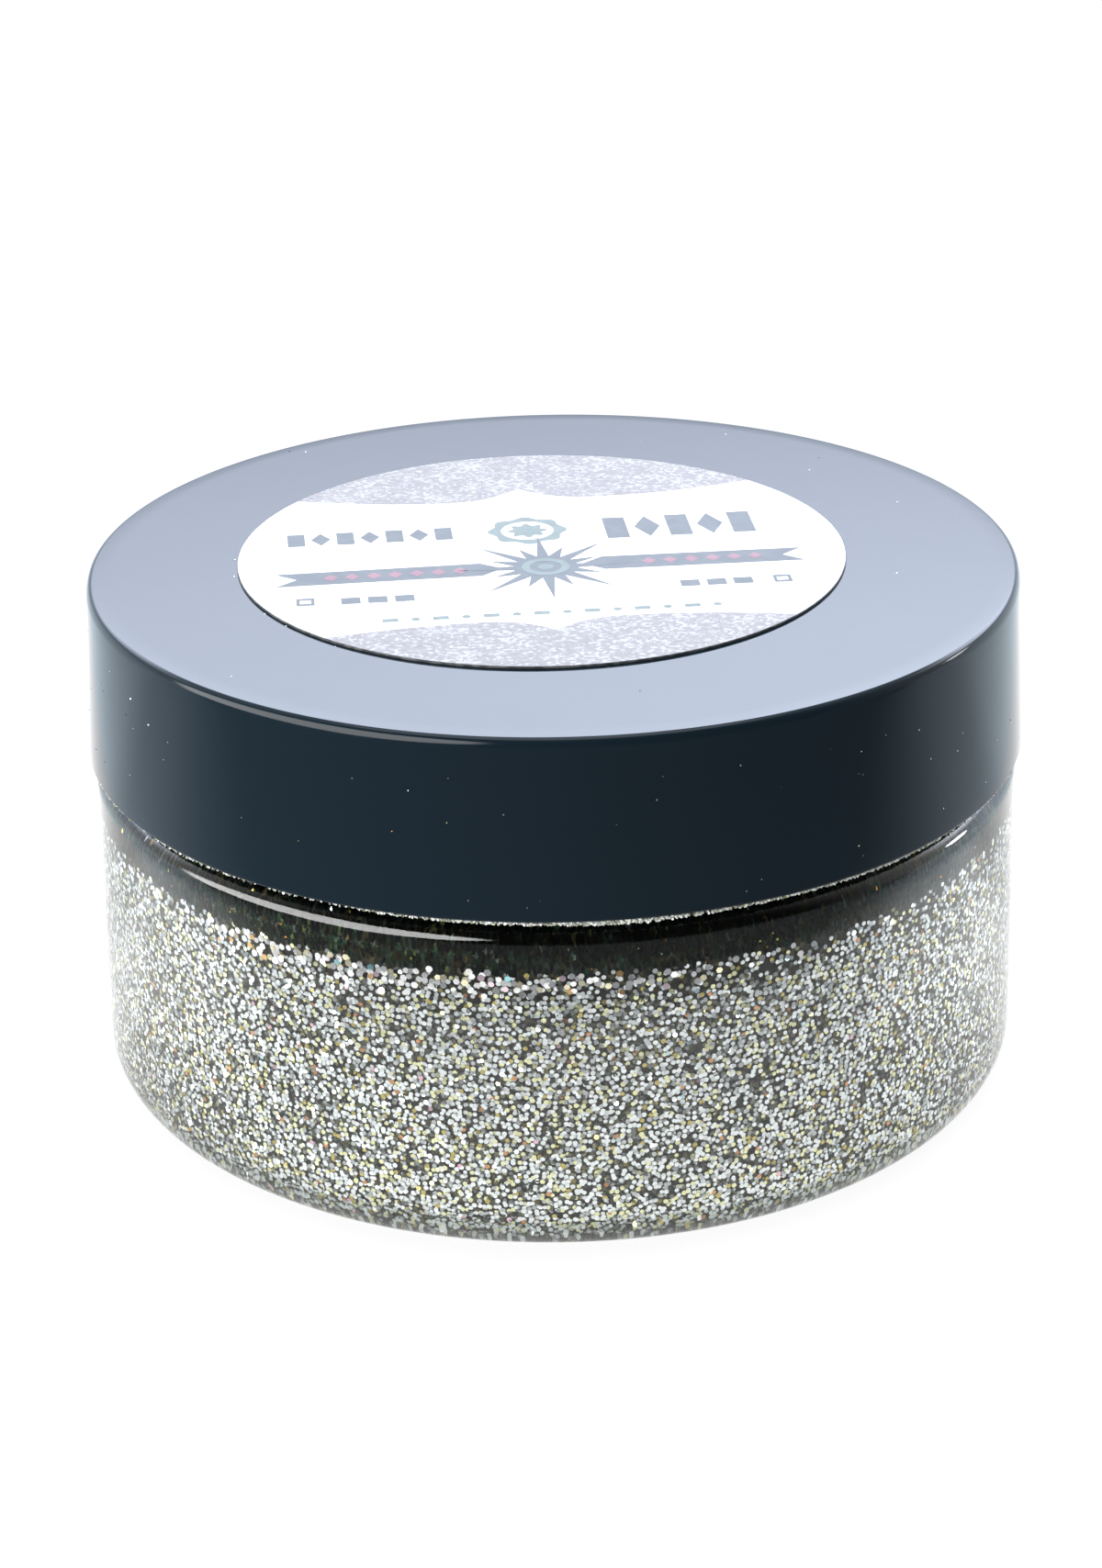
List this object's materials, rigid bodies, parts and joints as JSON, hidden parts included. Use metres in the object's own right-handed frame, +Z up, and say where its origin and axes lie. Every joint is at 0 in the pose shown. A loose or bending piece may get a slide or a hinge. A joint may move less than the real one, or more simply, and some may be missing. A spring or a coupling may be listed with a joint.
{
  "type": "cosmetic jar",
  "caption": "Low round clear jar of glitter gel with a glossy black screw lid, foam liner and round paper label on the lid.",
  "frame": {"origin": "centre of the standing ring under the jar, on the surface it stands on", "axes": "+Z up along the jar's axis, towards the lid; the label's top edge is towards +Y"},
  "size_m": [0.0604, 0.0604, 0.0338],
  "materials": {
    "clear_pet": "gloss",
    "glitter_gel": "satin",
    "black_lid": "gloss",
    "liner_foam": "matte",
    "label_paper": "satin"
  },
  "bodies": {
    "jar": {"jar": "clear_pet", "glitter_gel": "glitter_gel"},
    "liner": {"lid_liner": "liner_foam"},
    "lid": {"lid": "black_lid", "lid_label": "label_paper"}
  },
  "joints": [
    {"name": "lid_rise", "type": "slide", "parent": "jar", "child": "liner", "axis": [0, 0, 1], "range_m": [0, 0.0128]},
    {"name": "lid_turn", "type": "hinge", "parent": "liner", "child": "lid", "pos_m": [0, 0, 0.028], "axis": [0, 0, 1], "range_deg": [0, 1080]}
  ],
  "couplings": [
    {"joint": "lid_rise", "follows": "lid_turn", "m_per_rad": 0.0006737}
  ]
}
